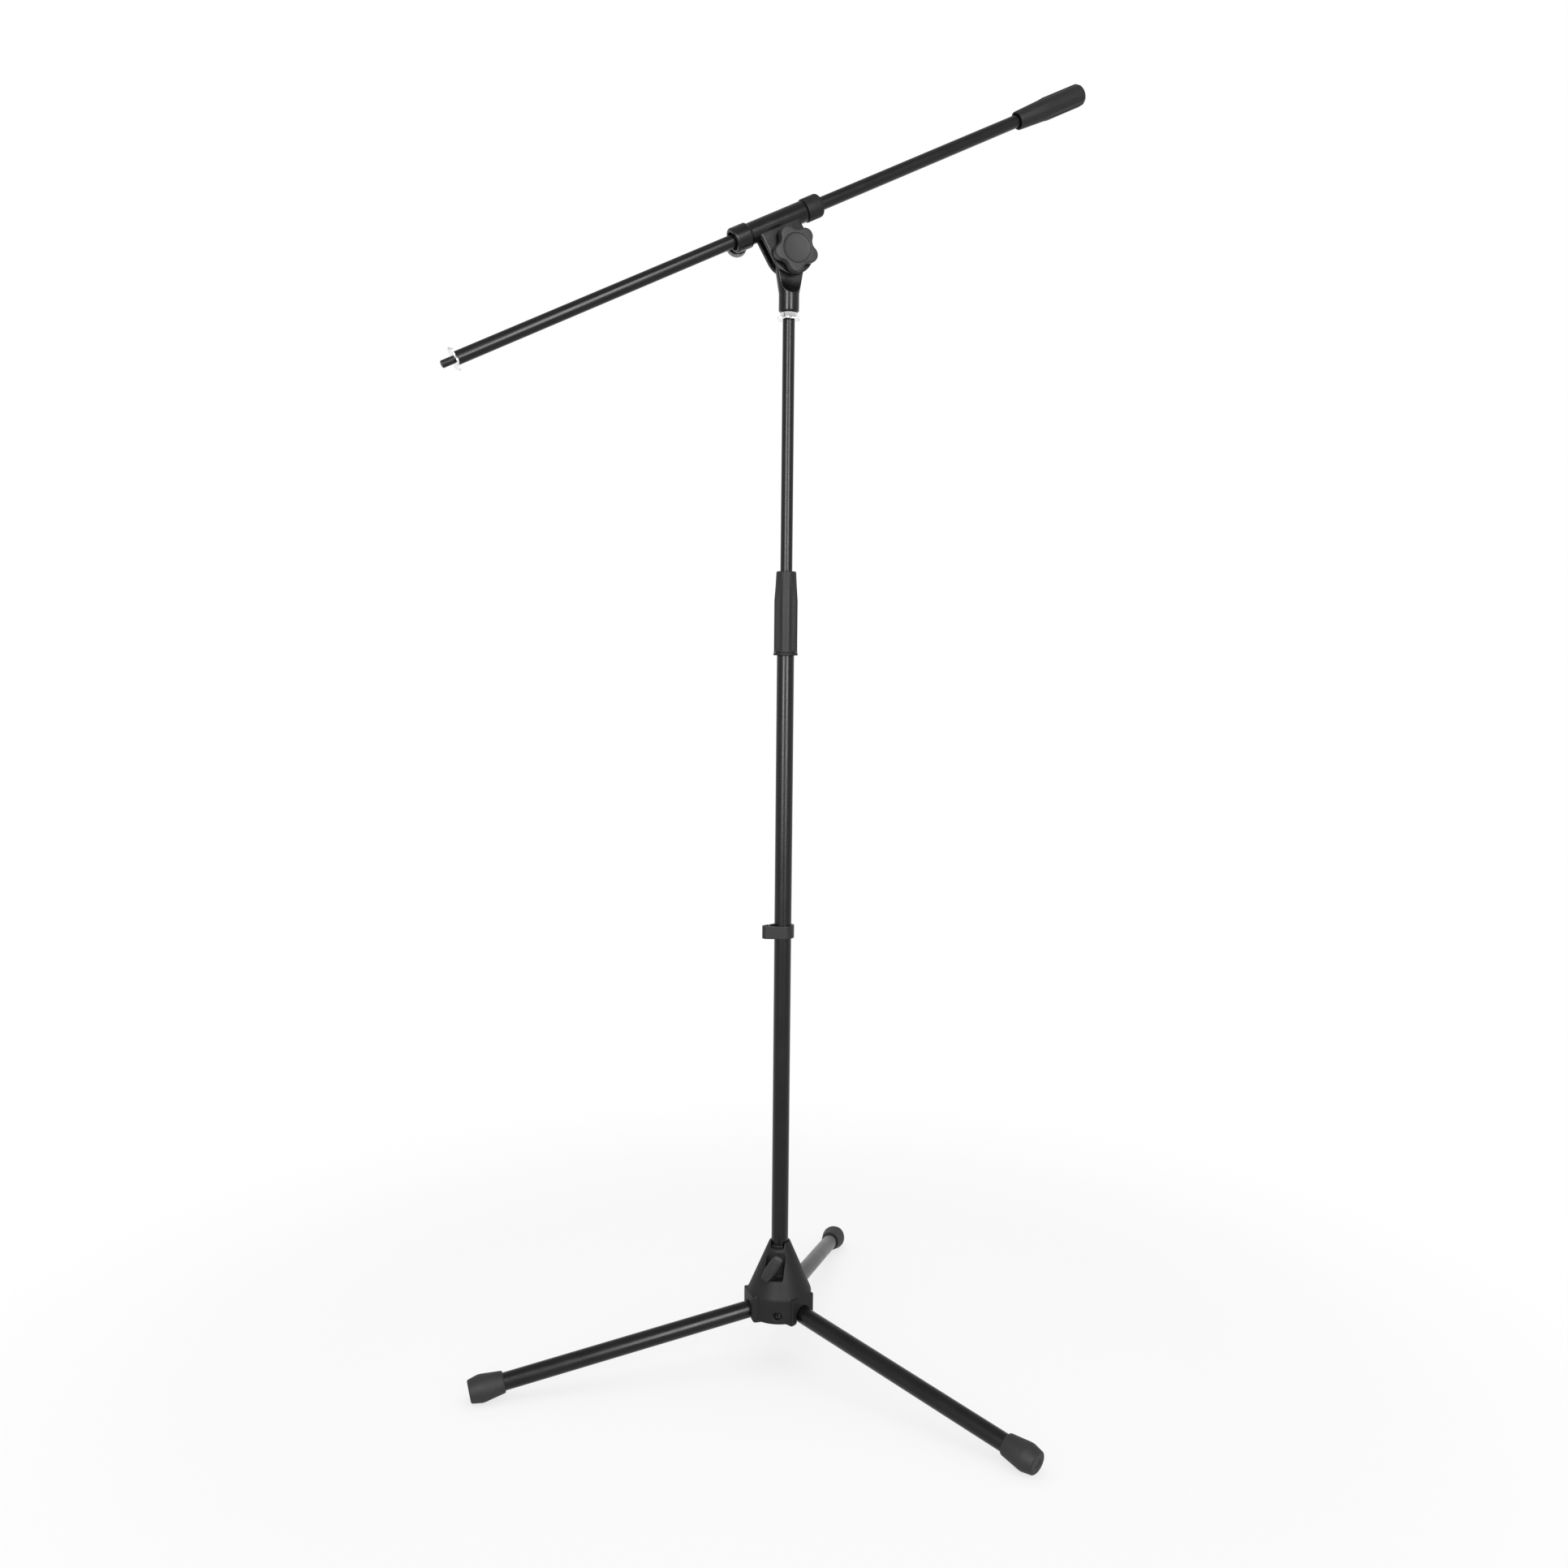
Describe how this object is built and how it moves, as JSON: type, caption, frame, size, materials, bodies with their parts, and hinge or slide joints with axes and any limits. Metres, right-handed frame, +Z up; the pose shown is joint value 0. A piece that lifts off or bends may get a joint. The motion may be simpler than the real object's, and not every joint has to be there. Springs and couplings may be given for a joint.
{
  "type": "boom microphone stand",
  "caption": "Floor stand for a microphone: folding tripod base, telescopic mast with a twist clutch, and a tilting boom with a counterweight.",
  "frame": {"origin": "on the floor, under the mast's axis", "axes": "+Z up along the mast; -X the way the boom's low end points, over the left leg; the star knob is on the -Y side"},
  "size_m": [0.8513, 0.7108, 1.6944],
  "materials": {
    "black_tube": "satin black powder coat",
    "black_casting": "semi-gloss black paint",
    "base_plastic": "fine moulded grain",
    "grip_plastic": "fluted matte grip",
    "knob_plastic": "smooth matte moulding",
    "clip_plastic": "smooth moulding",
    "hinge_plastic": "moulded",
    "shoe_plastic": "moulded",
    "foot_rubber": "matte rubber",
    "chrome": "bright plated",
    "steel": "turned",
    "dark_steel": "blackened",
    "brass": "turned",
    "nylon": "natural nylon",
    "fibre": "pressed fibre"
  },
  "bodies": {
    "base": {"base_housing": "base_plastic", "mast_clamp_shoe": "shoe_plastic", "clamp_screw_insert": "brass", "leg_pivot_bolts": "dark_steel", "lower_mast_tube": "black_tube", "clutch_body": "base_plastic", "clutch_collet": "nylon"},
    "wing_screw": {"wing_screw": "knob_plastic"},
    "leg_left": {"leg_tube_left": "black_tube", "leg_hinge_left": "hinge_plastic", "foot_left": "foot_rubber"},
    "leg_right": {"leg_tube_right": "black_tube", "leg_hinge_right": "hinge_plastic", "foot_right": "foot_rubber"},
    "leg_rear": {"leg_tube_rear": "black_tube", "leg_hinge_rear": "hinge_plastic", "foot_rear": "foot_rubber"},
    "cable_clip": {"cable_clip": "clip_plastic"},
    "clutch_grip": {"clutch_grip": "grip_plastic"},
    "mast_rod": {"mast_rod": "black_tube", "rod_guide_bush": "nylon", "rod_stud": "steel"},
    "mast_lock_nut": {"mast_lock_nut": "chrome"},
    "swivel": {"swivel_head": "black_casting", "friction_washers": "fibre"},
    "boom_holder": {"boom_holder": "black_casting", "boom_guide_cap": "base_plastic", "tilt_bolt": "steel", "boom_clamp_pad": "nylon"},
    "star_knob": {"star_knob": "knob_plastic", "star_knob_insert": "brass"},
    "thumb_screw": {"thumb_screw": "steel"},
    "boom": {"boom_tube": "black_tube", "boom_stud": "dark_steel", "counterweight_grip": "grip_plastic", "counterweight_core": "steel"},
    "boom_lock_nut": {"boom_lock_nut": "chrome"}
  },
  "joints": [
    {"name": "leg_left_fold", "type": "hinge", "parent": "base", "child": "leg_left", "pos_m": [-0.02593, 0.0019, 0.07841], "axis": [-0.0732, -0.9973, 0], "range_deg": [0, 80]},
    {"name": "leg_right_fold", "type": "hinge", "parent": "base", "child": "leg_right", "pos_m": [0.01132, -0.02341, 0.07841], "axis": [0.9003, 0.4352, 0], "range_deg": [0, 80]},
    {"name": "leg_rear_fold", "type": "hinge", "parent": "base", "child": "leg_rear", "pos_m": [0.01461, 0.0215, 0.07841], "axis": [-0.8271, 0.5621, 0], "range_deg": [0, 80]},
    {"name": "wing_screw_turn", "type": "hinge", "parent": "base", "child": "wing_screw", "pos_m": [-0.01826, -0.0238, 0.13941], "axis": [-0.6088, -0.7934, 0], "continuous": true},
    {"name": "cable_clip_slide", "type": "slide", "parent": "base", "child": "cable_clip", "axis": [0, 0, 1], "range_m": [-0.401, 0.345]},
    {"name": "clutch_turn", "type": "hinge", "parent": "base", "child": "clutch_grip", "pos_m": [0, 0, 0.985], "axis": [0, 0, 1], "range_deg": [0, 180]},
    {"name": "mast_slide", "type": "slide", "parent": "base", "child": "mast_rod", "axis": [0, 0, 1], "range_m": [-0.309, 0.367]},
    {"name": "mast_lock_nut_turn", "type": "hinge", "parent": "mast_rod", "child": "mast_lock_nut", "pos_m": [0, 0, 1.352], "axis": [0, 0, 1], "continuous": true},
    {"name": "head_swivel", "type": "hinge", "parent": "mast_rod", "child": "swivel", "pos_m": [0, 0, 1.371], "axis": [0, 0, 1], "continuous": true},
    {"name": "boom_tilt", "type": "hinge", "parent": "swivel", "child": "boom_holder", "pos_m": [0, 0, 1.43221], "axis": [0, -1, 0], "range_deg": [-111.6, 53.4]},
    {"name": "star_knob_turn", "type": "hinge", "parent": "boom_holder", "child": "star_knob", "pos_m": [0, -0.02, 1.43221], "axis": [0, -1, 0], "continuous": true},
    {"name": "thumb_screw_turn", "type": "hinge", "parent": "boom_holder", "child": "thumb_screw", "pos_m": [-0.06274, 0.02135, 1.43812], "axis": [0.1083, 0.9703, -0.2163], "continuous": true},
    {"name": "boom_slide", "type": "slide", "parent": "boom_holder", "child": "boom", "axis": [0.8942, 0, 0.4478], "range_m": [-0.307, 0.372]},
    {"name": "boom_lock_nut_turn", "type": "hinge", "parent": "boom", "child": "boom_lock_nut", "pos_m": [-0.41442, 0, 1.26796], "axis": [0.8942, 0, 0.4478], "continuous": true}
  ]
}
